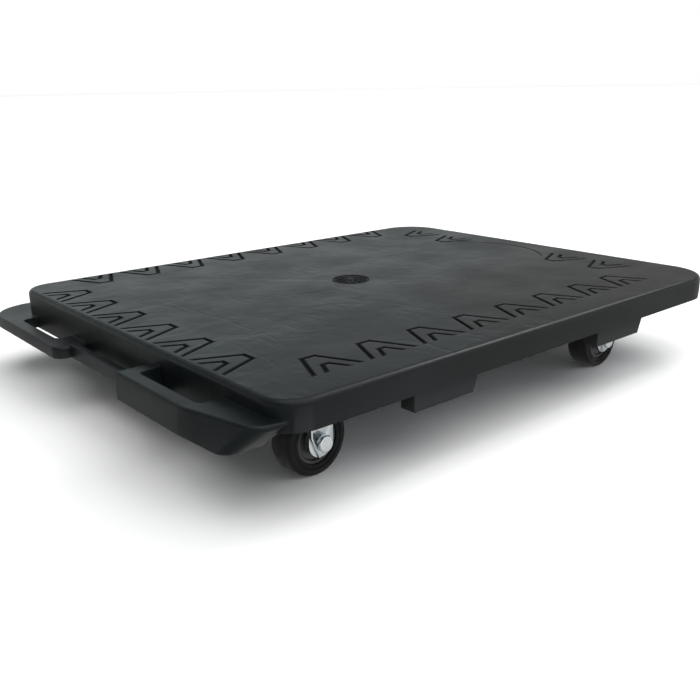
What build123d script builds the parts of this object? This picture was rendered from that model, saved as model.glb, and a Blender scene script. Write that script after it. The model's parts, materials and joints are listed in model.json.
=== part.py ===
"""Interlocking platform dolly: a hollow moulded deck on four swivel casters.

Millimetres, +Z up, +X along the deck, origin on the floor under the middle of the whole footprint.
The deck carries a low ledge with hand holes on its left end (-X) and its far side (+Y), and
hanging lugs on its near side (-Y) and its right end (+X), so that dollies hook together.
"""

import math
import os

from build123d import *

os.makedirs("parts", exist_ok=True)

# Whole footprint and heights
overall_length = 633.0
overall_width = 520.0
deck_top = 90.0
skirt_bottom = 66.0
ledge_bottom = 52.0
left_reach = 33.0
far_reach = 34.5

# Deck block: a flat top with a skirt round it
wall = 4.0
top_edge_radius = 5.0
left_corner = 28.0
right_corner = 50.0

ledge_left = -overall_length / 2
ledge_far = overall_width / 2
deck_left = ledge_left + left_reach
deck_right = overall_length / 2
deck_near = -overall_width / 2
deck_far = ledge_far - far_reach
deck_mid_x = (deck_left + deck_right) / 2
deck_mid_y = (deck_near + deck_far) / 2
deck_length = deck_right - deck_left
deck_width = deck_far - deck_near

# Ledge on the left end; spans run along Y from the deck's near wall
ledge_edge_radius = 2.5
near_tab_top = 76.0
near_tab_span = (30.0, 187.0)
near_tab_inside = 28.0
near_slot_span = (76.0, 172.0)
near_slot_width = 20.0
bar_top = 65.0
bar_reach = 16.0
bar_thickness = 7.0
low_tab_top = 63.0
low_tab_reach = 30.0
low_tab_start = 320.0
low_tab_corner = 12.0
low_slot_span = (353.0, 447.0)
low_slot_width = 16.0
ledge_corner = 46.0
slot_corner = 7.0

# Front of the near tab, at its foot and at its top: where its left edge starts to lean in, its
# front corner and its front edge's inner end, as distances along and across from the deck's
# near-left corner, then the rounding of the bend and of the corner
near_tab_foot = ((-33.0, 88.0), (-29.5, 30.0), (28.0, 30.0), 30.0, 13.0)
near_tab_crest = ((-33.0, 78.0), (-14.5, 5.5), (28.0, 1.0), 40.0, 20.0)

# Ledge on the far side; spans run along X from the deck's left wall
far_ledge_end = 588.0
far_slot_spans = ((226.0, 342.0), (478.0, 562.0))
far_slot_width = 20.0

# Lugs; the near ones run along X, the right one along Y
lug_spans = ((124.0, 198.0), (370.0, 447.0))
lug_depth = 15.0
lug_slant = 6.0
lug_gap = 3.0
right_lug_span = (206.0, 300.0)
right_lug_depth = 8.0

# The right end's skirt is shallower, to ride over a neighbour's ledge
right_skirt_bottom = 76.0
right_relief_start = 566.0
right_relief_end = 574.0

# Casters
caster_x = 195.0
caster_inset = 61.5
pad_bottom = 80.0
bay_radius = 46.0
plate_thickness = 2.5
screw_spacing_x = 54.0
screw_spacing_y = 40.0
screw_radius = 2.4
pilot_radius = 2.5
trail = 22.0
wheel_radius = 30.0
tyre_width = 23.0
hub_half_width = 11.7
hub_radius = 20.0
bore_radius = 5.06
sleeve_radius = 5.0
bolt_radius = 3.0
leg_inner = 13.0
leg_thickness = 2.3
leg_end_radius = 12.5
plate_length = 70.0
plate_width = 56.0
plate_corner = 8.0
clearance_hole = 3.1
rivet_radius = 4.0
rivet_head_radius = 6.6
rivet_head_height = 1.6
rivet_head_gap = 0.2
race_boss_bottom = 75.0
race_boss_radius = 21.0
crown_bottom = 70.0
crown_top = 72.6
crown_radius = 22.0
crown_bore = 5.5
crown_back = -trail - leg_end_radius
crown_front = 12.0
leg_top_depth = 7.0
leg_flare_bottom = 50.0
lip_width = 3.0
lip_thickness = 1.6
lip_bend_height = 37.0
lip_foot_height = 19.0
lip_foot_back = -27.0
upper_ball_radius = 2.4
upper_ball_pitch = 16.0
upper_ball_height = 73.8
upper_ball_count = 18
lower_ball_radius = 1.8
lower_ball_pitch = 9.3
lower_ball_height = 69.0
lower_ball_count = 14
groove_clearance = 0.1
cup_radius = 12.3
cup_bottom = 65.4
cup_top = 68.0
screw_head_radius = 4.6
screw_head_height = 3.2
screw_reach = 6.5
screw_cross_length = 5.0
screw_cross_width = 1.0
screw_cross_depth = 1.6
bolt_shoulder_radius = 5.0
bolt_shoulder_height = 2.2
bolt_head_radius = 7.0
bolt_head_height = 4.4
bolt_head_round = 1.3
bolt_tail = 7.0
nut_across_flats = 10.0
nut_height = 5.0
nut_bore = 3.02
spacer_radius = 9.0
spacer_thickness = 0.9
hub_boss_radius = 9.0
hub_web_radius = 17.0
hub_web_half = 7.5
hub_rim_half = 9.5
tread_round = 2.8
sidewall_step_radius = 24.0
sidewall_step_depth = 0.8

# Ribs under the top
rib_thickness = 3.0
rib_bottom = 71.0
ribs_along = (-150.0, -75.0, 0.0, 75.0, 150.0)
ribs_across = (-235.0, -140.0, -70.0, 0.0, 70.0, 140.0, 235.0)

# Grip marks moulded into the top
mark_half_base = 23.0
mark_half_apex = 6.5
mark_height = 36.5
small_half_base = 10.7
small_half_apex = 3.1
small_height = 14.5
groove_width = 2.4
groove_depth = 1.5
long_row_count = 8
long_row_pitch = 58.6
end_row_count = 6
end_row_pitch = 60.8
end_row_x = 275.0
near_row_y = -223.0
far_row_y = 217.0
arc_end_x = 250.0
arc_end_y = 70.0
arc_middle_x = 284.0

# Badge set in the top at the middle of the footprint
badge_radius = 20.5
badge_thickness = 2.0
badge_proud = 0.5
badge_relief = 0.8
badge_ring_width = 1.6
badge_hub_radius = 5.0
badge_bar_count = 12
badge_bar_length = 9.5
badge_bar_width = 2.2

# Each caster: where its swivel axis stands and how far it is turned at rest, in degrees
near_caster_y = deck_near + caster_inset
far_caster_y = deck_far - caster_inset
casters = {
    "near_left": (-caster_x, near_caster_y, 3.0),
    "near_right": (caster_x, near_caster_y, 1.0),
    "far_left": (-caster_x, far_caster_y, -4.0),
    "far_right": (caster_x, far_caster_y, 3.0),
}
caster_points = [(x, y) for x, y, turn in casters.values()]


def save(part, label):
    """Label a finished piece and write it as its own file."""
    part.label = label
    export_step(part, f"parts/{label}.step")


def plan(along, across):
    """A plan point given by its distances from the deck's near-left corner."""
    return (deck_left + along, deck_near + across)


def plan_rectangle(along, across):
    """A rectangle in the open sketch, from spans measured from the deck's near-left corner."""
    middle = plan(sum(along) / 2, sum(across) / 2)
    with Locations(middle):
        Rectangle(along[1] - along[0], across[1] - across[0])


def deck_outline(inset):
    """The deck's rounded plan in the open sketch, drawn in by an inset."""
    with Locations((deck_mid_x, deck_mid_y)):
        Rectangle(deck_length - 2 * inset, deck_width - 2 * inset)
    ends = vertices().group_by(Axis.X)
    fillet(ends[0], left_corner - inset)
    ends = vertices().group_by(Axis.X)
    fillet(ends[-1], right_corner - inset)


def low_ledge_outline():
    """The low ledge's L-shaped plan in the open sketch."""
    inner_x = near_tab_inside - wall
    inner_y = deck_width - wall
    Polygon(
        plan(-low_tab_reach, low_tab_start),
        plan(inner_x, low_tab_start),
        plan(inner_x, inner_y),
        plan(far_ledge_end, inner_y),
        plan(far_ledge_end, deck_width + far_reach),
        plan(-low_tab_reach, deck_width + far_reach),
        align=None,
    )
    fillet(vertices().group_by(Axis.Y)[-1].sort_by(Axis.X)[0], ledge_corner)
    fillet(vertices().group_by(Axis.Y)[0].sort_by(Axis.X)[0], low_tab_corner)
    fillet(vertices().group_by(Axis.Y)[-1].sort_by(Axis.X)[-1], low_tab_corner)


def near_tab_outline(bend, corner, inner_end, bend_round, corner_round):
    """The near tab's plan in the open sketch, from the points and roundings of its front."""
    Polygon(
        plan(*inner_end),
        plan(*corner),
        plan(*bend),
        plan(bend[0], near_tab_span[1]),
        plan(inner_end[0], near_tab_span[1]),
        align=None,
    )
    fillet(vertices().sort_by_distance((*plan(*corner), 0))[0], corner_round)
    fillet(vertices().sort_by_distance((*plan(*bend), 0))[0], bend_round)


# ---------------------------------------------------------------- grip marks


def angle_mark(half_base, half_apex, height, foot):
    """One flat-topped angle stroke as a face, standing on y = foot and pointing along +Y."""
    with BuildSketch() as stroke:
        with BuildLine():
            Polyline(
                (-half_base, foot),
                (-half_apex, foot + height),
                (half_apex, foot + height),
                (half_base, foot),
            )
        trace(line_width=groove_width)
    return stroke.sketch


large_stroke = angle_mark(mark_half_base, mark_half_apex, mark_height, 0)
small_stroke = angle_mark(small_half_base, small_half_apex, small_height, 0)

mark_places = []
for number in range(long_row_count):
    x = (number - (long_row_count - 1) / 2) * long_row_pitch
    mark_places.append(Location((x, near_row_y), 0))
    mark_places.append(Location((x, far_row_y), 180))
for number in range(end_row_count):
    y = (number - (end_row_count - 1) / 2) * end_row_pitch
    mark_places.append(Location((-end_row_x, y), -90))
    if abs(y) > end_row_pitch:
        mark_places.append(Location((end_row_x, y), 90))

with BuildSketch() as grip_marks:
    for place in mark_places:
        with Locations(place):
            add(large_stroke)
            add(small_stroke)
    with BuildLine():
        ThreePointArc((arc_end_x, -arc_end_y), (arc_middle_x, 0), (arc_end_x, arc_end_y))
    trace(line_width=groove_width)

# ---------------------------------------------------------------- deck moulding

# Near tab: its front face leans out from a straight foot to a slanting top edge
with BuildPart() as near_tab:
    with BuildSketch(Plane.XY.offset(ledge_bottom)):
        near_tab_outline(*near_tab_foot)
    with BuildSketch(Plane.XY.offset(near_tab_top)):
        near_tab_outline(*near_tab_crest)
    loft()
    rim = edges().group_by(Axis.Z)[-1].sort_by(Axis.X)[:-1]
    fillet(rim, ledge_edge_radius)
    with BuildSketch(Plane.XY.offset(ledge_bottom)):
        plan_rectangle((-near_slot_width, 0), near_slot_span)
        fillet(vertices().group_by(Axis.X)[0], slot_corner)
        plan_rectangle((wall, near_tab_inside - wall), (near_tab_span[0] + wall, near_tab_span[1] - wall))
    extrude(amount=near_tab_top - ledge_bottom, mode=Mode.SUBTRACT)

# Low ledge round the far-left corner, with its hand holes and the recesses for a neighbour's lugs
with BuildPart() as low_ledge:
    with BuildSketch(Plane.XY.offset(ledge_bottom)):
        low_ledge_outline()
    extrude(amount=low_tab_top - ledge_bottom)
    fillet(edges().group_by(Axis.Z)[-1], ledge_edge_radius)
    with BuildSketch(Plane.XY.offset(ledge_bottom)):
        plan_rectangle((-low_slot_width, 0), low_slot_span)
        fillet(vertices().group_by(Axis.X)[0], slot_corner)
    extrude(amount=low_tab_top - ledge_bottom, mode=Mode.SUBTRACT)
    with BuildSketch(Plane.XY.offset(ledge_bottom)):
        for start, end in far_slot_spans:
            plan_rectangle((start, end), (deck_width, deck_width + far_slot_width))
        fillet(vertices().group_by(Axis.Y)[-1], slot_corner)
        for start, end in lug_spans:
            plan_rectangle((start - lug_gap, end + lug_gap), (deck_width, deck_width + lug_depth + lug_gap))
    extrude(amount=low_tab_top - ledge_bottom, mode=Mode.SUBTRACT)


# Whole moulding
with BuildPart() as deck:
    # Block with its rounded top edge, and the walls that run on down to the ledge
    with BuildSketch(Plane.XY.offset(skirt_bottom)):
        deck_outline(0)
    extrude(amount=deck_top - skirt_bottom)
    fillet(edges().group_by(Axis.Z)[-1], top_edge_radius)
    with BuildSketch(Plane.XY.offset(ledge_bottom)):
        deck_outline(0)
        with BuildSketch(mode=Mode.INTERSECT):
            plan_rectangle((0, left_corner), (near_tab_span[0], deck_width))
            plan_rectangle((0, right_relief_start), (deck_width - left_corner, deck_width))
    extrude(amount=skirt_bottom - ledge_bottom)
    add(near_tab.part)
    add(low_ledge.part)

    # Recessed bar between the two tabs
    with BuildSketch(Plane.XY.offset(ledge_bottom)):
        plan_rectangle((-bar_reach, bar_thickness - bar_reach), (near_tab_span[1], low_tab_start))
    extrude(amount=bar_top - ledge_bottom)

    # Hollow under the top
    with BuildSketch(Plane.XY.offset(ledge_bottom)):
        deck_outline(wall)
    extrude(amount=deck_top - wall - ledge_bottom, mode=Mode.SUBTRACT)

    # The right end's skirt stops short, with slanting ends on the side walls
    with BuildSketch(Plane.XZ.offset(-deck_far)):
        Polygon(
            (deck_left + right_relief_start, skirt_bottom - wall),
            (deck_left + right_relief_start, skirt_bottom),
            (deck_left + right_relief_end, right_skirt_bottom),
            (deck_right + wall, right_skirt_bottom),
            (deck_right + wall, skirt_bottom - wall),
            align=None,
        )
    extrude(amount=deck_width, mode=Mode.SUBTRACT)

    # Lugs under the near wall, with a slanting right side, and one under the right end
    for start, end in lug_spans:
        with BuildSketch(Plane.XZ.offset(-deck_near)):
            Polygon(
                (deck_left + start, ledge_bottom),
                (deck_left + start, deck_top - wall),
                (deck_left + end, deck_top - wall),
                (deck_left + end, skirt_bottom),
                (deck_left + end - lug_slant, ledge_bottom),
                align=None,
            )
        extrude(amount=-lug_depth)
    with BuildSketch(Plane.XY.offset(ledge_bottom)):
        plan_rectangle((deck_length - right_lug_depth, deck_length), right_lug_span)
    extrude(amount=deck_top - wall - ledge_bottom)

    # Ribs, the round caster bays and the pads that the caster plates bolt to
    with BuildSketch(Plane.XY.offset(rib_bottom)):
        for y in ribs_along:
            with Locations((deck_mid_x, y + deck_mid_y)):
                Rectangle(deck_length, rib_thickness)
        for x in ribs_across:
            with Locations((x + deck_mid_x, deck_mid_y)):
                Rectangle(rib_thickness, deck_width)
        for turn in (45, -45):
            with Locations(Location((deck_mid_x, deck_mid_y), turn)):
                Rectangle(deck_length, rib_thickness)
        with Locations(*caster_points):
            Circle(bay_radius + rib_thickness)
            Circle(bay_radius, mode=Mode.SUBTRACT)
        with BuildSketch(mode=Mode.INTERSECT):
            deck_outline(wall)
    extrude(amount=deck_top - wall - rib_bottom)
    with BuildSketch(Plane.XY.offset(pad_bottom)):
        with Locations(*caster_points):
            Circle(bay_radius)
    extrude(amount=deck_top - wall - pad_bottom)
    for point in caster_points:
        with BuildSketch(Plane.XY.offset(pad_bottom)):
            with Locations(point):
                with GridLocations(screw_spacing_x, screw_spacing_y, 2, 2):
                    Circle(pilot_radius)
        extrude(amount=deck_top - wall - pad_bottom, mode=Mode.SUBTRACT)

    # Grip marks, the arc between them and the badge's seat
    with BuildSketch(Plane.XY.offset(deck_top - groove_depth)):
        add(grip_marks.sketch)
    extrude(amount=groove_depth, mode=Mode.SUBTRACT)
    with BuildSketch(Plane.XY.offset(deck_top - badge_thickness + badge_proud)):
        Circle(badge_radius)
    extrude(amount=badge_thickness, mode=Mode.SUBTRACT)

save(deck.part, "deck")

# ---------------------------------------------------------------- badge

# A plain roundel: a raised ring and a ring of raised bars
with BuildPart() as badge:
    with BuildSketch(Plane.XY.offset(deck_top - badge_thickness + badge_proud)):
        Circle(badge_radius)
    extrude(amount=badge_thickness - badge_relief)
    with BuildSketch(Plane.XY.offset(deck_top + badge_proud - badge_relief)):
        Circle(badge_radius)
        Circle(badge_radius - badge_ring_width, mode=Mode.SUBTRACT)
        Circle(badge_hub_radius)
        with PolarLocations((badge_radius + badge_hub_radius) / 2 - 1, badge_bar_count):
            Rectangle(badge_bar_length, badge_bar_width)
    extrude(amount=badge_relief)

save(badge.part, "centre_badge")

# ---------------------------------------------------------------- casters


def pad_plane(caster, height):
    """Horizontal plane on the swivel axis, square to the deck."""
    x, y = casters[caster][:2]
    return Plane(origin=(x, y, height))


def swivel_plane(caster, height=0.0):
    """Horizontal plane on the swivel axis, +X pointing away from the wheel."""
    x, y, turn = casters[caster]
    forward = (math.cos(math.radians(turn)), math.sin(math.radians(turn)), 0)
    return Plane(origin=(x, y, height), x_dir=forward, z_dir=(0, 0, 1))


def side_plane(caster, offset=0.0):
    """Upright plane through the swivel axis and the wheel's middle, moved sideways by an offset."""
    flat = swivel_plane(caster)
    return Plane(origin=flat.origin, x_dir=flat.x_dir, z_dir=flat.y_dir * -1).offset(offset)


def axle_plane(caster, offset=0.0):
    """The side plane with its origin on the wheel's axle."""
    upright = side_plane(caster, offset)
    centre = upright.from_local_coords((-trail, wheel_radius, 0))
    return Plane(origin=centre, x_dir=upright.x_dir, z_dir=upright.z_dir)


def cut_race(caster, pitch, height, ball_radius):
    """Cut the ring groove that a row of balls runs in from the open part."""
    with Locations(pad_plane(caster, height)):
        Torus(pitch, ball_radius + groove_clearance, mode=Mode.SUBTRACT)


def make_mounting_plate(caster):
    """Plate bolted under the deck, with the upper race pressed into it and a seat for the rivet."""
    with BuildPart() as plate:
        with BuildSketch(pad_plane(caster, pad_bottom - plate_thickness)):
            RectangleRounded(plate_length, plate_width, plate_corner)
            with GridLocations(screw_spacing_x, screw_spacing_y, 2, 2):
                Circle(clearance_hole, mode=Mode.SUBTRACT)
        extrude(amount=plate_thickness)
        with BuildSketch(pad_plane(caster, race_boss_bottom)):
            Circle(race_boss_radius)
        extrude(amount=pad_bottom - plate_thickness - race_boss_bottom)
        with BuildSketch(pad_plane(caster, race_boss_bottom)):
            Circle(rivet_radius)
        extrude(amount=pad_bottom - race_boss_bottom, mode=Mode.SUBTRACT)
        with BuildSketch(pad_plane(caster, pad_bottom - rivet_head_height - rivet_head_gap)):
            Circle(rivet_head_radius)
        extrude(amount=rivet_head_height + rivet_head_gap, mode=Mode.SUBTRACT)
        cut_race(caster, upper_ball_pitch, upper_ball_height, upper_ball_radius)
    save(plate.part, f"{caster}_mounting_plate")


def make_plate_screws(caster):
    """Four cross-head screws from below, through the plate into the deck's pad."""
    head_top = pad_bottom - plate_thickness
    with BuildPart() as screws:
        with BuildSketch(pad_plane(caster, head_top - screw_head_height)):
            with GridLocations(screw_spacing_x, screw_spacing_y, 2, 2):
                Circle(screw_head_radius)
        extrude(amount=screw_head_height)
        with BuildSketch(pad_plane(caster, head_top)):
            with GridLocations(screw_spacing_x, screw_spacing_y, 2, 2):
                Circle(screw_radius)
        extrude(amount=screw_reach)
        with BuildSketch(pad_plane(caster, head_top - screw_head_height)):
            with GridLocations(screw_spacing_x, screw_spacing_y, 2, 2):
                Rectangle(screw_cross_length, screw_cross_width)
                Rectangle(screw_cross_width, screw_cross_length)
        extrude(amount=screw_cross_depth, mode=Mode.SUBTRACT)
    save(screws.part, f"{caster}_plate_screws")


def make_king_rivet(caster):
    """Rivet that holds the plate, the fork and the retainer cup together."""
    with BuildPart() as rivet:
        with BuildSketch(pad_plane(caster, cup_bottom)):
            Circle(rivet_radius)
        extrude(amount=pad_bottom - rivet_head_gap - cup_bottom)
        with BuildSketch(pad_plane(caster, cup_bottom - rivet_head_height)):
            Circle(rivet_head_radius)
        extrude(amount=rivet_head_height)
        with BuildSketch(pad_plane(caster, pad_bottom - rivet_head_gap - rivet_head_height)):
            Circle(rivet_head_radius)
        extrude(amount=rivet_head_height)
    save(rivet.part, f"{caster}_king_rivet")


def make_retainer_cup(caster):
    """Cup riveted under the fork's crown, with the lower race in its top."""
    with BuildPart() as cup:
        with BuildSketch(pad_plane(caster, cup_bottom)):
            Circle(cup_radius)
            Circle(rivet_radius, mode=Mode.SUBTRACT)
        extrude(amount=cup_top - cup_bottom)
        cut_race(caster, lower_ball_pitch, lower_ball_height, lower_ball_radius)
    save(cup.part, f"{caster}_retainer_cup")


def make_balls(caster, row, pitch, height, radius, count):
    """One row of steel balls round the swivel axis."""
    with BuildPart(pad_plane(caster, height)) as balls:
        with PolarLocations(pitch, count):
            Sphere(radius)
    save(balls.part, f"{caster}_{row}_balls")


def make_fork(caster):
    """Stamped fork: a crown between the two rows of balls, and two legs with a lip on the back."""
    with BuildPart() as fork:
        with BuildSketch(swivel_plane(caster, crown_bottom)):
            Circle(crown_radius)
            with Locations(((crown_back + crown_front) / 2, 0)):
                Rectangle(crown_front - crown_back, 2 * (leg_inner + leg_thickness))
            Circle(crown_bore, mode=Mode.SUBTRACT)
        extrude(amount=crown_top - crown_bottom)
        for start in (leg_inner, -leg_inner - leg_thickness):
            with BuildSketch(side_plane(caster, start)):
                with Locations((-trail, wheel_radius)):
                    Circle(leg_end_radius)
                with Locations((-trail, (wheel_radius + crown_top) / 2)):
                    Rectangle(2 * leg_end_radius, crown_top - wheel_radius)
                Polygon(
                    (-trail, leg_flare_bottom),
                    (leg_end_radius - trail, leg_flare_bottom),
                    (crown_front, crown_top - leg_top_depth),
                    (crown_front, crown_top),
                    (-trail, crown_top),
                    align=None,
                )
                with Locations((-trail, wheel_radius)):
                    Circle(clearance_hole, mode=Mode.SUBTRACT)
            extrude(amount=leg_thickness)
        for start in (leg_inner + leg_thickness, -leg_inner - leg_thickness - lip_width):
            with BuildSketch(side_plane(caster, start)):
                Polygon(
                    (crown_back, crown_top - leg_top_depth),
                    (crown_back + lip_thickness, crown_top - leg_top_depth),
                    (crown_back + lip_thickness, lip_bend_height),
                    (lip_foot_back + lip_thickness, lip_foot_height),
                    (lip_foot_back, lip_foot_height),
                    (crown_back, lip_bend_height),
                    align=None,
                )
            extrude(amount=lip_width)
        cut_race(caster, upper_ball_pitch, upper_ball_height, upper_ball_radius)
        cut_race(caster, lower_ball_pitch, lower_ball_height, lower_ball_radius)
    save(fork.part, f"{caster}_fork")


def make_axle(caster):
    """Shouldered axle bolt with a round head, its nut, the hub's sleeve and two spacers."""
    leg_outer = leg_inner + leg_thickness
    with BuildPart() as bolt:
        with BuildSketch(axle_plane(caster, leg_outer)):
            Circle(bolt_shoulder_radius)
        extrude(amount=bolt_shoulder_height)
        with BuildSketch(axle_plane(caster, leg_outer + bolt_shoulder_height)):
            Circle(bolt_head_radius)
        extrude(amount=bolt_head_height)
        fillet(edges().group_by(Axis((0, 0, 0), tuple(axle_plane(caster).z_dir)))[-1], bolt_head_round)
        with BuildSketch(axle_plane(caster, leg_outer)):
            Circle(bolt_radius)
        extrude(amount=-2 * leg_outer - bolt_tail)
    save(bolt.part, f"{caster}_axle_bolt")

    with BuildPart() as nut:
        with BuildSketch(axle_plane(caster, -leg_outer - nut_height)):
            RegularPolygon(nut_across_flats / 2, 6, major_radius=False)
            Circle(nut_bore, mode=Mode.SUBTRACT)
        extrude(amount=nut_height)
    save(nut.part, f"{caster}_axle_nut")

    with BuildPart() as sleeve:
        with BuildSketch(axle_plane(caster, -leg_inner)):
            Circle(sleeve_radius)
            Circle(clearance_hole, mode=Mode.SUBTRACT)
        extrude(amount=2 * leg_inner)
    save(sleeve.part, f"{caster}_axle_sleeve")

    with BuildPart() as spacers:
        for start in (-leg_inner, leg_inner - spacer_thickness):
            with BuildSketch(axle_plane(caster, start)):
                Circle(spacer_radius)
                Circle(bore_radius, mode=Mode.SUBTRACT)
            extrude(amount=spacer_thickness)
    save(spacers.part, f"{caster}_spacers")


def make_wheel(caster):
    """Wheel hub with a thin web, and the solid tyre round it."""
    with BuildPart() as hub:
        for inner, outer, half in (
            (bore_radius, hub_boss_radius, hub_half_width),
            (hub_boss_radius, hub_web_radius, hub_web_half),
            (hub_web_radius, hub_radius, hub_rim_half),
        ):
            with BuildSketch(axle_plane(caster)):
                Circle(outer)
                Circle(inner, mode=Mode.SUBTRACT)
            extrude(amount=half, both=True)
    save(hub.part, f"{caster}_wheel_hub")

    across = Axis((0, 0, 0), tuple(axle_plane(caster).z_dir))
    with BuildPart() as tyre:
        with BuildSketch(axle_plane(caster)):
            Circle(wheel_radius)
        extrude(amount=tyre_width / 2, both=True)
        sides = edges().group_by(across)
        fillet(sides[0] + sides[-1], tread_round)
        with BuildSketch(axle_plane(caster)):
            Circle(hub_radius)
        extrude(amount=tyre_width, both=True, mode=Mode.SUBTRACT)
        for face_offset in (tyre_width / 2 - sidewall_step_depth, -tyre_width / 2):
            with BuildSketch(axle_plane(caster, face_offset)):
                Circle(sidewall_step_radius)
                Circle(hub_radius, mode=Mode.SUBTRACT)
            extrude(amount=sidewall_step_depth, mode=Mode.SUBTRACT)
    save(tyre.part, f"{caster}_tyre")


for caster in casters:
    make_mounting_plate(caster)
    make_plate_screws(caster)
    make_king_rivet(caster)
    make_retainer_cup(caster)
    make_balls(caster, "upper", upper_ball_pitch, upper_ball_height, upper_ball_radius, upper_ball_count)
    make_balls(caster, "lower", lower_ball_pitch, lower_ball_height, lower_ball_radius, lower_ball_count)
    make_fork(caster)
    make_axle(caster)
    make_wheel(caster)
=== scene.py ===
"""Looks of an interlocking platform dolly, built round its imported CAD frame. Metres, +Z up."""
import json
import math

import bmesh
import bpy
from mathutils import Matrix, Vector


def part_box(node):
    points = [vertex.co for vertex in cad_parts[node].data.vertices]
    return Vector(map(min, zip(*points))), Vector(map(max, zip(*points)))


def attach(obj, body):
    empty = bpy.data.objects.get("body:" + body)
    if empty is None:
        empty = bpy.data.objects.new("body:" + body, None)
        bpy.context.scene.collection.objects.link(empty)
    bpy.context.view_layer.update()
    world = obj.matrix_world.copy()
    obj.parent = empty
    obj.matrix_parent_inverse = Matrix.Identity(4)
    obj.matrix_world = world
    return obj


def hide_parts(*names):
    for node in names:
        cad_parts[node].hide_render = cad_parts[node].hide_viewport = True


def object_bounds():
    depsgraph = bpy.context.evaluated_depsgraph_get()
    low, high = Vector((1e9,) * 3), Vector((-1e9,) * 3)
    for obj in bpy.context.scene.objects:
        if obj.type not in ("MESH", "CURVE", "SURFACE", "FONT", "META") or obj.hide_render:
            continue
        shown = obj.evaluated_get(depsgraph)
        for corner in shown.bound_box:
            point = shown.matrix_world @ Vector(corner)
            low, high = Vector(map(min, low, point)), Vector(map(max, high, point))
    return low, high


MM = 0.001
CASTERS = ("near_left", "near_right", "far_left", "far_right")

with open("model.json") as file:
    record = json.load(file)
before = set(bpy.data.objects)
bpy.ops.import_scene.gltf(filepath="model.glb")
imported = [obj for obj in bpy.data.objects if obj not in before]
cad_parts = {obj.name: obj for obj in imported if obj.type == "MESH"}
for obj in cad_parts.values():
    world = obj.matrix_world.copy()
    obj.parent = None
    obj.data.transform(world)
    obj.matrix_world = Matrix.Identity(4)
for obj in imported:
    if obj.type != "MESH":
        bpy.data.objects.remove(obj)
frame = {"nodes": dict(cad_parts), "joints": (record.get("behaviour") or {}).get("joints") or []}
cad_low, cad_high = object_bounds()
nodes = frame["nodes"]
scene = bpy.context.scene
deck_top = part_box("deck")[1].z

# Below this height a point is on the deck's walls, and not on its top or in its grooves
top_zone = deck_top - 2 * MM


# ---------------------------------------------------------------- camera, floor and light

# The camera's place and aim come from a perspective fit of the deck's corners
CAMERA_AT = Vector((-0.5784, -0.6778, 0.2929))
CAMERA_AZIMUTH = math.radians(40.33)
CAMERA_DOWN = math.radians(17.76)
CAMERA_ROLL = math.radians(-0.93)
CAMERA_LENS = 42.23

# Surroundings, as linear colours. Azimuths run from +Y towards +X, in degrees. Each spread is
# the cosine of the angle from the azimuth where a colour starts, and where it is full.
WINDOW_AZIMUTH = 12
WINDOW_SPREAD = (0.58, 0.98)
WINDOW_COLOUR = (0.56, 0.64, 0.66)
WALL_COLOUR = (0.115, 0.11, 0.10)
HORIZON_COLOUR = (1.0, 1.0, 1.0)
CEILING_COLOUR = (0.40, 0.40, 0.40)

# Heights on the unit sphere where the floor gives way to the horizon, it to the walls, and they
# to the ceiling
FLOOR_EDGE = (-0.02, 0.0)
HORIZON_EDGE = (0.10, 0.19)
CEILING_EDGE = (0.35, 0.8)

# What glossy surfaces see below the horizon, in place of the floor: its lit side and its shaded side
LIT_FLOOR_AZIMUTH = 160
LIT_FLOOR_SPREAD = (0.6, 0.95)
LIT_FLOOR_COLOUR = (0.85, 0.85, 0.86)
SHADED_FLOOR_COLOUR = (0.42, 0.42, 0.42)

# A broad pale wall behind the camera, which the deck's rounded edges pick up
BACK_WALL_AZIMUTH = 165
BACK_WALL_SPREAD = (0.25, 0.8)
BACK_WALL_COLOUR = (0.85, 0.88, 0.92)

SKY_STRENGTH = 2.3
SKY_WIDTH = math.radians(80)
SKY_LEAN = (math.radians(14), math.radians(8), 0)
FLOOR_HALF = 60.0
FLOOR_COLOUR = (0.96, 0.96, 0.96)


def make_camera():
    """Camera looking from the near-left corner along the deck's diagonal."""
    data = bpy.data.cameras.new("camera")
    data.lens = CAMERA_LENS
    data.sensor_width = 36.0
    data.clip_start = 0.01
    camera = bpy.data.objects.new("camera", data)
    aim = Vector((
        math.sin(CAMERA_AZIMUTH) * math.cos(CAMERA_DOWN),
        math.cos(CAMERA_AZIMUTH) * math.cos(CAMERA_DOWN),
        -math.sin(CAMERA_DOWN),
    ))
    turn = aim.to_track_quat("-Z", "Y").to_matrix() @ Matrix.Rotation(CAMERA_ROLL, 3, "Z")
    camera.matrix_world = Matrix.Translation(CAMERA_AT) @ turn.to_4x4()
    scene.collection.objects.link(camera)
    scene.camera = camera


def make_soft_light(name, azimuth, height, distance, size, power):
    """Square area light at an azimuth from +Y towards +X, in degrees, aimed at the deck."""
    data = bpy.data.lights.new(name, "AREA")
    data.shape = "SQUARE"
    data.size = size
    data.energy = power
    light = bpy.data.objects.new(name, data)
    angle = math.radians(azimuth)
    at = Vector((math.sin(angle) * distance, math.cos(angle) * distance, height))
    aim = (Vector((0, 0, deck_top)) - at).to_track_quat("-Z", "Y")
    light.matrix_world = Matrix.Translation(at) @ aim.to_matrix().to_4x4()
    light.visible_camera = False
    scene.collection.objects.link(light)


def make_sky_panel():
    """Very soft even light from above, like a diffusing ceiling."""
    data = bpy.data.lights.new("sky_panel", "SUN")
    data.energy = SKY_STRENGTH
    data.angle = SKY_WIDTH
    light = bpy.data.objects.new("sky_panel", data)
    light.rotation_euler = SKY_LEAN
    scene.collection.objects.link(light)


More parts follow.
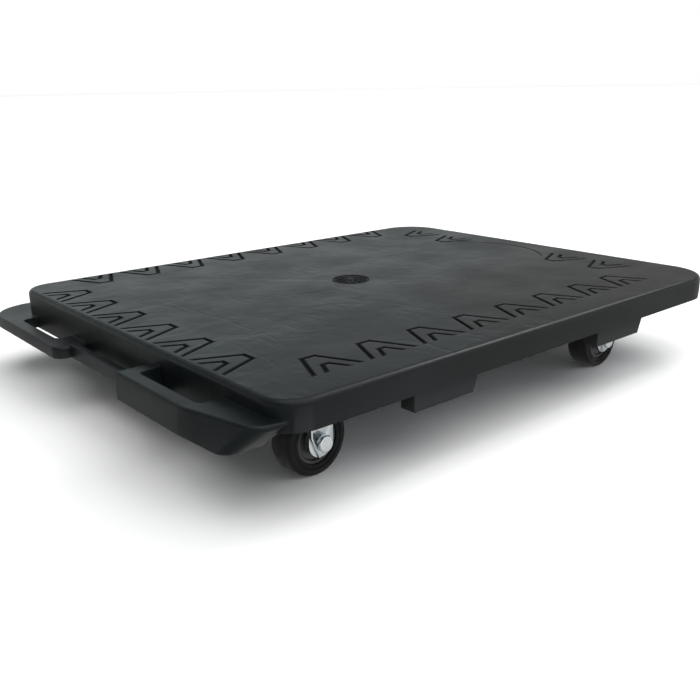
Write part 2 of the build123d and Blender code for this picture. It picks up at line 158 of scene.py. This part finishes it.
def make_floor():
    """Large matt pale floor under the wheels, which glossy surfaces don't reflect."""
    mesh = bpy.data.meshes.new("floor")
    corners = [(FLOOR_HALF * x, FLOOR_HALF * y, 0) for x, y in ((-1, -1), (1, -1), (1, 1), (-1, 1))]
    mesh.from_pydata(corners, [], [(0, 1, 2, 3)])
    floor = bpy.data.objects.new("floor", mesh)
    floor.location.z = cad_low.z
    floor.visible_glossy = False
    scene.collection.objects.link(floor)
    material = bpy.data.materials.new("floor_paper")
    material.use_nodes = True
    shader = material.node_tree.nodes["Principled BSDF"]
    shader.inputs["Base Color"].default_value = (*FLOOR_COLOUR, 1)
    shader.inputs["Roughness"].default_value = 1.0
    shader.inputs["Specular IOR Level"].default_value = 0.0
    mesh.materials.append(material)


def make_world():
    """Surroundings by height and azimuth: pale horizon, a window ahead, a pale wall behind."""
    world = bpy.data.worlds.new("studio")
    world.use_nodes = True
    tree = world.node_tree

    def add(kind, **values):
        node = tree.nodes.new(kind)
        for key, value in values.items():
            setattr(node, key, value)
        return node

    def fit(value, edge):
        node = add("ShaderNodeMapRange", interpolation_type="SMOOTHSTEP")
        node.inputs["From Min"].default_value, node.inputs["From Max"].default_value = edge
        tree.links.new(value, node.inputs["Value"])
        return node.outputs["Result"]

    def mix(share, a, b):
        node = add("ShaderNodeMix", data_type="RGBA")
        tree.links.new(share, node.inputs["Factor"])
        for socket, value in ((node.inputs["A"], a), (node.inputs["B"], b)):
            if isinstance(value, tuple):
                socket.default_value = (*value, 1)
            else:
                tree.links.new(value, socket)
        return node.outputs["Result"]

    place = add("ShaderNodeTexCoord").outputs["Generated"]
    split = add("ShaderNodeSeparateXYZ")
    tree.links.new(place, split.inputs["Vector"])
    height = split.outputs["Z"]

    def towards(azimuth):
        node = add("ShaderNodeVectorMath", operation="DOT_PRODUCT")
        angle = math.radians(azimuth)
        node.inputs[1].default_value = (math.sin(angle), math.cos(angle), 0)
        tree.links.new(place, node.inputs[0])
        return node.outputs["Value"]

    side = mix(fit(towards(WINDOW_AZIMUTH), WINDOW_SPREAD), WALL_COLOUR, WINDOW_COLOUR)
    side = mix(fit(towards(BACK_WALL_AZIMUTH), BACK_WALL_SPREAD), side, BACK_WALL_COLOUR)
    lit = fit(towards(LIT_FLOOR_AZIMUTH), LIT_FLOOR_SPREAD)
    below = mix(lit, SHADED_FLOOR_COLOUR, LIT_FLOOR_COLOUR)
    air = mix(fit(height, FLOOR_EDGE), below, HORIZON_COLOUR)
    air = mix(fit(height, HORIZON_EDGE), air, side)
    air = mix(fit(height, CEILING_EDGE), air, CEILING_COLOUR)
    tree.links.new(air, tree.nodes["Background"].inputs["Color"])
    scene.world = world


# ---------------------------------------------------------------- material tools


class Shader:
    """A Principled material and short ways to add nodes to it."""

    def __init__(self, name):
        self.material = bpy.data.materials.new(name)
        self.material.use_nodes = True
        self.tree = self.material.node_tree
        self.surface = self.tree.nodes["Principled BSDF"]
        self.place = self.add("ShaderNodeTexCoord").outputs["Object"]

    def add(self, kind, **values):
        node = self.tree.nodes.new(kind)
        for key, value in values.items():
            setattr(node, key, value)
        return node

    def link(self, source, target):
        self.tree.links.new(source, target)

    def set(self, **values):
        for key, value in values.items():
            self.surface.inputs[key.replace("_", " ")].default_value = value

    def stretched(self, scale):
        node = self.add("ShaderNodeMapping")
        node.inputs["Scale"].default_value = scale
        self.link(self.place, node.inputs["Vector"])
        return node.outputs["Vector"]

    def noise(self, scale, detail=3.0, roughness=0.55, vector=None):
        node = self.add("ShaderNodeTexNoise")
        node.inputs["Scale"].default_value = scale
        node.inputs["Detail"].default_value = detail
        node.inputs["Roughness"].default_value = roughness
        self.link(vector or self.place, node.inputs["Vector"])
        return node.outputs["Fac"]

    def cells(self, scale):
        node = self.add("ShaderNodeTexVoronoi")
        node.inputs["Scale"].default_value = scale
        self.link(self.place, node.inputs["Vector"])
        return node.outputs["Distance"]

    def fit(self, value, low, high, to_low=0.0, to_high=1.0):
        node = self.add("ShaderNodeMapRange")
        node.interpolation_type = "SMOOTHSTEP"
        ends = {"From Min": low, "From Max": high, "To Min": to_low, "To Max": to_high}
        for key, number in ends.items():
            node.inputs[key].default_value = number
        self.link(value, node.inputs["Value"])
        return node.outputs["Result"]

    def math(self, operation, a, b=None):
        node = self.add("ShaderNodeMath", operation=operation)
        for socket, value in zip(node.inputs, (a, b)):
            if value is None:
                continue
            if isinstance(value, (int, float)):
                socket.default_value = value
            else:
                self.link(value, socket)
        return node.outputs["Value"]

    def mix(self, share, a, b):
        node = self.add("ShaderNodeMix", data_type="RGBA")
        self.link(share, node.inputs["Factor"])
        for socket, value in ((node.inputs["A"], a), (node.inputs["B"], b)):
            if isinstance(value, tuple):
                socket.default_value = (*value, 1)
            else:
                self.link(value, socket)
        return node.outputs["Result"]

    def bump(self, height, distance, strength, under=None):
        node = self.add("ShaderNodeBump")
        node.inputs["Distance"].default_value = distance
        node.inputs["Strength"].default_value = strength
        self.link(height, node.inputs["Height"])
        if under:
            self.link(under, node.inputs["Normal"])
        return node.outputs["Normal"]

    def edge_wear(self, low, high):
        """Rises from 0 to 1 towards sharp outer edges."""
        return self.fit(self.add("ShaderNodeNewGeometry").outputs["Pointiness"], low, high)

    def axes(self):
        node = self.add("ShaderNodeSeparateXYZ")
        self.link(self.place, node.inputs["Vector"])
        return node.outputs

    def colour(self, value):
        self.link(value, self.surface.inputs["Base Color"])

    def rough(self, value):
        self.link(value, self.surface.inputs["Roughness"])

    def normal(self, value):
        self.link(value, self.surface.inputs["Normal"])


# Grip marks: rows of nested flat-topped angles, whose middle lines are given here as
# (half width at the foot, half width at the top, height)
STROKES = ((23.0 * MM, 6.5 * MM, 36.5 * MM), (10.7 * MM, 3.1 * MM, 14.5 * MM))
# The rows' pitch, half length, and the two lines that the marks stand on
LONG_ROWS = {"pitch": 58.6 * MM, "reach": 234.4 * MM, "low": -223.0 * MM, "high": 217.0 * MM}
END_ROWS = {"pitch": 60.8 * MM, "reach": 182.4 * MM, "low": -275.0 * MM, "high": 275.0 * MM}
# The band along each middle line that is darkened as painted shade in the grooves, and where it has faded
# out
BAND, BAND_END = 1.6 * MM, 3.1 * MM


def row_distance(s, along, across, rows):
    """Distance from the nearest angle stroke in two facing rows of marks."""
    turns = s.math("FRACT", s.math("DIVIDE", s.math("ADD", along, rows["reach"]), rows["pitch"]))
    side = s.math("MULTIPLY", s.math("ABSOLUTE", s.math("SUBTRACT", turns, 0.5)), rows["pitch"])
    above_low = s.math("SUBTRACT", across, rows["low"])
    up = s.math("MINIMUM", above_low, s.math("SUBTRACT", rows["high"], across))
    nearest = None
    for foot, top, height in STROKES:
        length = math.hypot(height, foot - top)
        sideways = s.math("MULTIPLY", s.math("SUBTRACT", side, foot), height / length)
        lean = s.math("ADD", sideways, s.math("MULTIPLY", up, (foot - top) / length))
        over = s.math("MAXIMUM", s.math("SUBTRACT", up, height), s.math("MULTIPLY", up, -1.0))
        leg = s.math("MAXIMUM", s.math("ABSOLUTE", lean), over)
        off_bar = s.math("ABSOLUTE", s.math("SUBTRACT", up, height))
        bar = s.math("MAXIMUM", off_bar, s.math("SUBTRACT", side, top))
        stroke = s.math("MINIMUM", leg, bar)
        nearest = stroke if nearest is None else s.math("MINIMUM", nearest, stroke)
    outside = s.math("SUBTRACT", s.math("ABSOLUTE", along), rows["reach"])
    return s.math("MAXIMUM", nearest, outside)


def grip_marks_and_shade(s):
    """1 in and close beside the grip marks' grooves, 0 elsewhere; only on the top. The deck's colour is
    darkened by it as painted shade.
    """
    x, y, z = s.axes()
    long_rows = row_distance(s, x, y, LONG_ROWS)
    end_rows = row_distance(s, y, x, END_ROWS)
    gap = s.math("MINIMUM", x, s.math("SUBTRACT", END_ROWS["pitch"], s.math("ABSOLUTE", y)))
    end_rows = s.math("MAXIMUM", end_rows, gap)
    marks = s.fit(s.math("MINIMUM", long_rows, end_rows), BAND, BAND_END, 1.0, 0.0)
    return s.math("MULTIPLY", marks, s.math("GREATER_THAN", z, top_zone))


def deck_plastic():
    """Satin moulded plastic: slate black, with flow marks, scuffs, dust, creases and sink lines, and
    painted shade in and beside the grip marks' grooves.
    """
    s = Shader("deck_plastic")
    broad = s.fit(s.noise(2.6, 2.0), 0.35, 0.65)
    flow = s.fit(s.noise(9.0, 4.0, 0.6, s.stretched((1.0, 3.2, 1.0))), 0.38, 0.66)
    cool = s.mix(flow, (0.0050, 0.0078, 0.0084), (0.0072, 0.0102, 0.0108))
    tone = s.mix(broad, cool, (0.0088, 0.0098, 0.0098))
    streak = s.noise(60.0, 2.0, 0.5, s.stretched((0.18, 1.6, 1.0)))
    scuff = s.math("MULTIPLY", s.fit(streak, 0.68, 0.76), s.fit(s.noise(7.0), 0.5, 0.68))
    tone = s.mix(s.math("MULTIPLY", scuff, 0.25), tone, (0.045, 0.048, 0.048))
    dust = s.math("MULTIPLY", s.fit(s.noise(420.0, 1.0), 0.7, 0.78), s.fit(s.noise(5.0), 0.45, 0.7))
    tone = s.mix(s.math("MULTIPLY", dust, 0.25), tone, (0.08, 0.077, 0.072))
    tone = s.mix(s.math("MULTIPLY", s.edge_wear(0.52, 0.6), 0.3), tone, (0.045, 0.048, 0.05))
    marks = grip_marks_and_shade(s)
    # Painted shade: the grip marks' grooves and a band beside them are darkened nearly to black, standing
    # in for the shadow in the grooves
    s.colour(s.mix(s.math("MULTIPLY", marks, 0.9), tone, (0.0016, 0.0018, 0.0018)))
    gloss = s.fit(s.noise(14.0, 3.0), 0.3, 0.7, 0.30, 0.40)
    dulled = s.math("ADD", s.math("MULTIPLY", scuff, 0.12), s.math("MULTIPLY", marks, 0.45))
    s.rough(s.math("ADD", gloss, dulled))
    rounded = s.add("ShaderNodeBevel", samples=4)
    rounded.inputs["Radius"].default_value = 1.8 * MM
    grain = s.bump(s.noise(1500.0, 2.0, 0.6), 0.00006, 0.5, rounded.outputs["Normal"])
    ripple = s.bump(s.noise(17.0, 2.0, 0.45, s.stretched((1.0, 1.7, 1.0))), 0.0011, 0.55, grain)
    sunk = s.bump(sink_lines(s), 0.0006, 0.35, s.bump(creases(s), 0.0004, 0.3, ripple))
    s.normal(s.bump(s.math("SUBTRACT", 1.0, marks), 0.0008, 0.7, sunk))
    s.set(IOR=1.25)
    return s.material


# Middle of the raised top, where the two sink lines cross
TOP_CENTRE = (16.5 * MM, -17.25 * MM)


def creases(s):
    """Fine crinkles where the skin of the moulding cooled, as a height."""
    height = None
    for scale, stretch in ((6.5, (1.0, 1.5, 1.0)), (10.0, (1.6, 0.8, 1.0))):
        wander = s.math("ABSOLUTE", s.math("SUBTRACT", s.noise(scale, 3.0, 0.6, s.stretched(stretch)), 0.5))
        line = s.fit(wander, 0.0, 0.04)
        height = line if height is None else s.math("MULTIPLY", height, line)
    walls = s.math("LESS_THAN", s.axes()["Z"], top_zone)
    smooth = s.math("MAXIMUM", s.fit(s.noise(4.0, 2.0), 0.45, 0.6), walls)
    return s.math("MAXIMUM", height, smooth)


def sink_lines(s):
    """Two shallow diagonal lines across the top, fading out here and there, as a height."""
    x, y, _ = s.axes()
    along = s.math("SUBTRACT", x, TOP_CENTRE[0])
    across = s.math("SUBTRACT", y, TOP_CENTRE[1])
    height = None
    for sign in (1.0, -1.0):
        distance = s.math("ABSOLUTE", s.math("ADD", along, s.math("MULTIPLY", across, sign)))
        line = s.fit(distance, 0.0, 0.014)
        height = line if height is None else s.math("MULTIPLY", height, line)
    return s.math("MAXIMUM", height, s.fit(s.noise(6.0), 0.4, 0.6))


def badge_plastic():
    """Matt black insert with a fine stipple."""
    s = Shader("badge_plastic")
    s.colour(s.mix(s.fit(s.noise(90.0), 0.4, 0.6), (0.004, 0.0045, 0.005), (0.009, 0.010, 0.0105)))
    s.set(IOR=1.25)
    s.rough(s.fit(s.noise(200.0), 0.3, 0.7, 0.5, 0.68))
    s.normal(s.bump(s.cells(1400.0), 0.00012, 0.6))
    return s.material


def tyre_rubber():
    """Dull rubber with floor dust ground into it."""
    s = Shader("tyre_rubber")
    dust = s.fit(s.noise(70.0, 5.0, 0.65), 0.48, 0.72)
    s.colour(s.mix(s.math("MULTIPLY", dust, 0.3), (0.0060, 0.0062, 0.0066), (0.036, 0.035, 0.033)))
    s.rough(s.fit(s.noise(45.0), 0.3, 0.7, 0.5, 0.72))
    s.normal(s.bump(s.noise(1100.0, 3.0, 0.7), 0.00012, 0.7))
    s.set(IOR=1.28)
    return s.material


def hub_plastic():
    """Black moulded hub."""
    s = Shader("hub_plastic")
    s.colour(s.mix(s.fit(s.noise(60.0), 0.4, 0.65), (0.016, 0.017, 0.018), (0.034, 0.034, 0.033)))
    s.rough(s.fit(s.noise(120.0), 0.3, 0.7, 0.34, 0.5))
    s.normal(s.bump(s.noise(1600.0, 2.0), 0.00006, 0.5))
    return s.material


def zinc_steel():
    """Bright zinc plate: bluish, cloudy, with faint rolling lines and dulled edges."""
    s = Shader("zinc_steel")
    cloud = s.fit(s.noise(38.0, 4.0, 0.6), 0.36, 0.66)
    spangle = s.fit(s.cells(260.0), 0.1, 0.7)
    plate = s.mix(cloud, (0.66, 0.72, 0.745), (0.80, 0.82, 0.80))
    plate = s.mix(s.math("MULTIPLY", spangle, 0.2), plate, (0.56, 0.61, 0.66))
    grime = s.math("MULTIPLY", s.fit(s.noise(85.0, 5.0, 0.7), 0.58, 0.74), 0.45)
    s.colour(s.mix(grime, plate, (0.30, 0.29, 0.27)))
    lines = s.noise(420.0, 2.0, 0.5, s.stretched((1.0, 1.0, 0.06)))
    s.rough(s.math("ADD", s.fit(lines, 0.3, 0.7, 0.20, 0.32), s.math("MULTIPLY", grime, 0.4)))
    s.normal(s.bump(lines, 0.00005, 0.5, s.bump(s.noise(30.0), 0.0005, 0.3)))
    s.set(Metallic=1.0)
    return s.material


def ball_steel():
    """Polished bearing steel with a film of grease."""
    s = Shader("ball_steel")
    s.colour(s.mix(s.fit(s.noise(160.0), 0.4, 0.7), (0.62, 0.62, 0.63), (0.42, 0.38, 0.30)))
    s.rough(s.fit(s.noise(240.0), 0.3, 0.7, 0.08, 0.24))
    s.set(Metallic=1.0)
    return s.material


def spacer_plastic():
    """Natural nylon."""
    s = Shader("spacer_plastic")
    s.colour(s.mix(s.fit(s.noise(130.0), 0.4, 0.6), (0.66, 0.65, 0.60), (0.74, 0.73, 0.69)))
    s.rough(s.fit(s.noise(300.0), 0.3, 0.7, 0.35, 0.5))
    s.set(Subsurface_Weight=0.08)
    return s.material


def make_materials():
    makers = (
        deck_plastic,
        badge_plastic,
        tyre_rubber,
        hub_plastic,
        zinc_steel,
        ball_steel,
        spacer_plastic,
    )
    return {make.__name__: make() for make in makers}


# ---------------------------------------------------------------- piece tools


def paint(piece, slot, materials):
    """Give a piece one material."""
    piece.data.materials.clear()
    piece.data.materials.append(materials[slot])


def shade_smooth_by_angle(mesh, degrees):
    """Smooth faces, sharp where they meet at more than an angle."""
    for face in mesh.polygons:
        face.use_smooth = True
    mesh.set_sharp_from_angle(angle=math.radians(degrees))


# Faces that meet at less than the first angle are joined, and edges over the second are rounded
FLAT_ANGLE = math.radians(1.5)
ROUNDED_ANGLE = math.radians(24)
SOFT_SMOOTH_ANGLE = 40
LATHE_SMOOTH_ANGLE = 32


def softened(node, name, edge, segments):
    """A copy of a CAD node with its faces joined up and its sharp edges rounded."""
    mesh = nodes[node].data.copy()
    piece = bpy.data.objects.new(name, mesh)
    scene.collection.objects.link(piece)
    work = bmesh.new()
    work.from_mesh(mesh)
    bmesh.ops.remove_doubles(work, verts=work.verts, dist=1e-6)
    bmesh.ops.dissolve_limit(
        work, angle_limit=FLAT_ANGLE, verts=work.verts, edges=work.edges, delimit={"NORMAL"}
    )
    work.to_mesh(mesh)
    work.free()
    bevel = piece.modifiers.new("soft_edges", "BEVEL")
    bevel.width = edge
    bevel.segments = segments
    bevel.limit_method = "ANGLE"
    bevel.angle_limit = ROUNDED_ANGLE
    bevel.harden_normals = False
    bevel.miter_outer = "MITER_ARC"
    apply_modifiers(piece)
    shade_smooth_by_angle(piece.data, SOFT_SMOOTH_ANGLE)
    return piece


def apply_modifiers(piece):
    """Replace a piece's mesh by its evaluated one."""
    bpy.context.view_layer.update()
    seen = piece.evaluated_get(bpy.context.evaluated_depsgraph_get())
    mesh = bpy.data.meshes.new_from_object(seen)
    piece.modifiers.clear()
    piece.data = mesh


def lathe(name, profile, centre, axis, steps):
    """Closed ring turned from a loop of (radius, along) points about an axis."""
    axis = axis.normalized()
    up = Vector((0, 0, 1))
    side = axis.cross(up).normalized()
    work = bmesh.new()
    rings = []
    for step in range(steps):
        angle = 2 * math.pi * step / steps
        out = up * math.cos(angle) + side * math.sin(angle)
        ring = [work.verts.new(centre + out * radius + axis * along) for radius, along in profile]
        rings.append(ring)
    count = len(profile)
    for step in range(steps):
        here, there = rings[step], rings[(step + 1) % steps]
        for point in range(count):
            after = (point + 1) % count
            work.faces.new((here[point], here[after], there[after], there[point]))
    bmesh.ops.recalc_face_normals(work, faces=work.faces)
    mesh = bpy.data.meshes.new(name)
    work.to_mesh(mesh)
    work.free()
    shade_smooth_by_angle(mesh, LATHE_SMOOTH_ANGLE)
    piece = bpy.data.objects.new(name, mesh)
    scene.collection.objects.link(piece)
    return piece


def arc_points(centre_radius, centre_along, radius, start, end, steps):
    """Points of a round shoulder, angles in degrees from the radial direction."""
    points = []
    for step in range(steps + 1):
        angle = math.radians(start + (end - start) * step / steps)
        reach, shift = radius * math.cos(angle), radius * math.sin(angle)
        points.append((centre_radius + reach, centre_along + shift))
    return points


# ---------------------------------------------------------------- wheels


def wheel_frame(caster):
    """The wheel's centre and the direction of its axle, from the record's joint."""
    joint = next(j for j in frame["joints"] if j["name"] == f"{caster}_wheel_spin")
    return Vector(joint["pos_m"]), Vector(joint["axis"])


# Wheel sizes in millimetres: radii from the axle, and half widths along it
TYRE_RADIUS, TYRE_HALF, SHOULDER_RADIUS, TREAD_CROWN = 30.0, 11.5, 2.8, 0.3
RIM_RADIUS, RIM_HALF = 20.0, 9.5
SIDE_HALF, BEAD_HALF = 10.7, 11.1
BORE_RADIUS, BOSS_RADIUS, BOSS_HALF = 5.06, 9.0, 11.7
WEB_INNER, WEB_OUTER, WEB_HALF = 9.8, 16.4, 7.5
TYRE_STEPS, HUB_STEPS = 96, 72


def both_sides(right):
    """A closed cross-section in metres from its right half in millimetres, outwards and back."""
    left = [(radius, -along) for radius, along in reversed(right)]
    return [(radius * MM, along * MM) for radius, along in right + left]


def tyre_profile():
    """Cross-section of the tyre: flat tread with a moulding line, round shoulders, beaded sides."""
    right = [(RIM_RADIUS, SIDE_HALF), (RIM_RADIUS + 0.9, SIDE_HALF)]
    right += [(RIM_RADIUS + 1.4, BEAD_HALF), (RIM_RADIUS + 2.6, BEAD_HALF)]
    right += [(RIM_RADIUS + 3.1, SIDE_HALF), (RIM_RADIUS + 3.8, SIDE_HALF), (RIM_RADIUS + 4.3, TYRE_HALF)]
    shoulder_middle = (TYRE_RADIUS - TREAD_CROWN - SHOULDER_RADIUS, TYRE_HALF - SHOULDER_RADIUS)
    right += arc_points(*shoulder_middle, SHOULDER_RADIUS, 90, 6, 8)
    tread = ((0.12, 5.0), (0.03, 1.4), (0.03, 0.5), (0.0, 0.25))
    right += [(TYRE_RADIUS - drop, along) for drop, along in tread]
    return both_sides(right)


def hub_profile():
    """Cross-section of the hub: boss, shallow web and rim, with chamfered corners."""
    right = [(BORE_RADIUS, BOSS_HALF - 0.3), (BORE_RADIUS + 0.3, BOSS_HALF)]
    right += [(BOSS_RADIUS - 0.4, BOSS_HALF), (BOSS_RADIUS, BOSS_HALF - 0.4)]
    right += [(WEB_INNER - 0.6, WEB_HALF + 0.6), (WEB_INNER, WEB_HALF), (WEB_OUTER, WEB_HALF)]
    right += [(WEB_OUTER + 0.6, WEB_HALF + 0.6), (WEB_OUTER + 0.7, RIM_HALF - 0.4)]
    right += [(WEB_OUTER + 1.1, RIM_HALF), (RIM_RADIUS - 0.4, RIM_HALF), (RIM_RADIUS, RIM_HALF - 0.4)]
    return both_sides(right)


def make_wheel(caster, materials):
    """Tyre and hub of one caster."""
    centre, axis = wheel_frame(caster)
    tyre = lathe(f"{caster}_tyre_skin", tyre_profile(), centre, axis, TYRE_STEPS)
    paint(tyre, "tyre_rubber", materials)
    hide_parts(f"{caster}_tyre")
    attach(tyre, f"{caster}_wheel")
    hub = lathe(f"{caster}_hub_skin", hub_profile(), centre, axis, HUB_STEPS)
    paint(hub, "hub_plastic", materials)
    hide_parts(f"{caster}_wheel_hub")
    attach(hub, f"{caster}_wheel")


# ---------------------------------------------------------------- all pieces

# Metal and nylon parts of a caster: node, material, body, and the rounding of its edges
SOFT_PARTS = (
    ("fork", "zinc_steel", "swivel", 0.6 * MM, 3),
    ("axle_bolt", "zinc_steel", "swivel", 0.35 * MM, 2),
    ("axle_nut", "zinc_steel", "swivel", 0.4 * MM, 2),
    ("spacers", "spacer_plastic", "swivel", 0.15 * MM, 2),
    ("mounting_plate", "zinc_steel", "deck", 0.5 * MM, 2),
    ("plate_screws", "zinc_steel", "deck", 0.5 * MM, 2),
    ("king_rivet", "zinc_steel", "deck", 0.5 * MM, 3),
    ("retainer_cup", "zinc_steel", "deck", 0.5 * MM, 2),
)


# Parts that keep their CAD shape and only get a material
PAINTED_PARTS = (
    ("axle_sleeve", "zinc_steel"),
    ("upper_balls", "ball_steel"),
    ("lower_balls", "ball_steel"),
)


def make_casters(materials):
    """Rounded metal parts, and the wheels."""
    for caster in CASTERS:
        for part, slot, body, edge, segments in SOFT_PARTS:
            piece = softened(f"{caster}_{part}", f"{caster}_{part}_skin", edge, segments)
            paint(piece, slot, materials)
            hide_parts(f"{caster}_{part}")
            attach(piece, body if body == "deck" else f"{caster}_{body}")
        make_wheel(caster, materials)
        for part, slot in PAINTED_PARTS:
            paint_node(f"{caster}_{part}", slot, materials)


def paint_node(node, slot, materials):
    """Better material in a CAD node's own slots."""
    for material_slot in nodes[node].material_slots:
        material_slot.material = materials[slot]


scene.view_settings.view_transform = "Standard"
make_camera()
make_floor()
make_world()
make_sky_panel()
make_soft_light("edge_box", azimuth=92, height=1.9, distance=1.9, size=1.1, power=22)
materials = make_materials()
make_casters(materials)
paint_node("deck", "deck_plastic", materials)
paint_node("centre_badge", "badge_plastic", materials)
